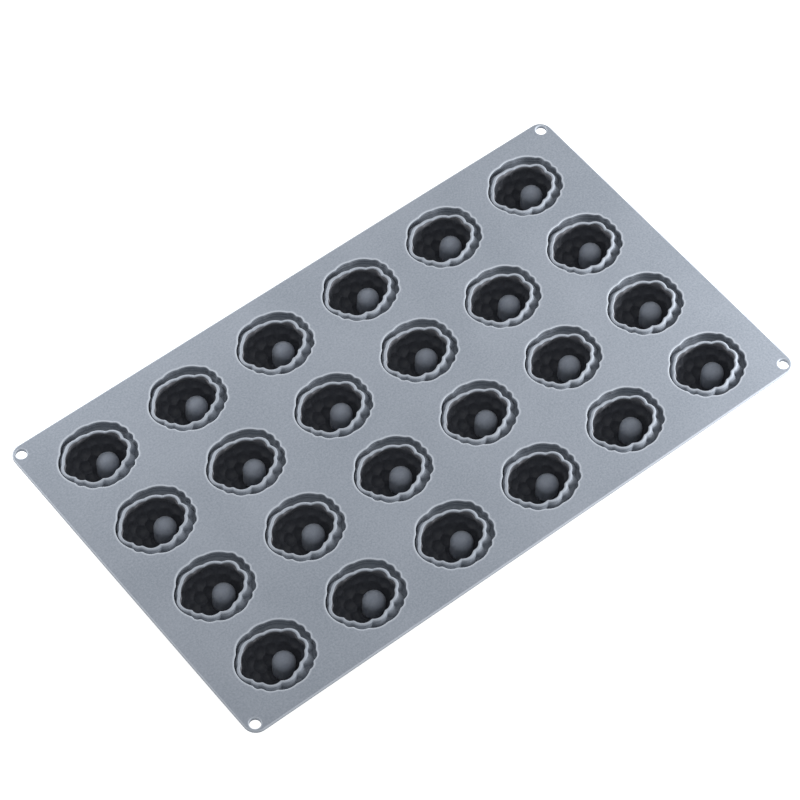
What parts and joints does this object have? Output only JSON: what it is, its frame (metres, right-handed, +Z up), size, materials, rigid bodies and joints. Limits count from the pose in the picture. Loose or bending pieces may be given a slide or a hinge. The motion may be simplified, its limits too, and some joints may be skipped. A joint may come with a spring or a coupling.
{
  "type": "silicone baking mould",
  "caption": "Flat flexible silicone sheet with a grid of raspberry-shaped cups, each with a lobed lip in a moat and a domed core, and a hanging hole in each corner.",
  "frame": {"origin": "on the table, under the middle of the sheet", "axes": "+X along the long side, +Y along the short side, +Z up out of the cups"},
  "size_m": [0.3, 0.175, 0.019],
  "materials": {
    "silicone": "matte blue-grey moulded silicone with a very fine speckle"
  },
  "bodies": {
    "root": {"sheet": "silicone", "moat_row1_col1": "silicone", "moat_row1_col2": "silicone", "moat_row1_col3": "silicone", "moat_row1_col4": "silicone", "moat_row1_col5": "silicone", "moat_row1_col6": "silicone", "moat_row2_col1": "silicone", "moat_row2_col2": "silicone", "moat_row2_col3": "silicone", "moat_row2_col4": "silicone", "moat_row2_col5": "silicone", "moat_row2_col6": "silicone", "moat_row3_col1": "silicone", "moat_row3_col2": "silicone", "moat_row3_col3": "silicone", "moat_row3_col4": "silicone", "moat_row3_col5": "silicone", "moat_row3_col6": "silicone", "moat_row4_col1": "silicone", "moat_row4_col2": "silicone", "moat_row4_col3": "silicone", "moat_row4_col4": "silicone", "moat_row4_col5": "silicone", "moat_row4_col6": "silicone", "cup_row1_col1": "silicone", "cup_row1_col2": "silicone", "cup_row1_col3": "silicone", "cup_row1_col4": "silicone", "cup_row1_col5": "silicone", "cup_row1_col6": "silicone", "cup_row2_col1": "silicone", "cup_row2_col2": "silicone", "cup_row2_col3": "silicone", "cup_row2_col4": "silicone", "cup_row2_col5": "silicone", "cup_row2_col6": "silicone", "cup_row3_col1": "silicone", "cup_row3_col2": "silicone", "cup_row3_col3": "silicone", "cup_row3_col4": "silicone", "cup_row3_col5": "silicone", "cup_row3_col6": "silicone", "cup_row4_col1": "silicone", "cup_row4_col2": "silicone", "cup_row4_col3": "silicone", "cup_row4_col4": "silicone", "cup_row4_col5": "silicone", "cup_row4_col6": "silicone", "cores_row1": "silicone", "cores_row2": "silicone", "cores_row3": "silicone", "cores_row4": "silicone"}
  },
  "joints": []
}
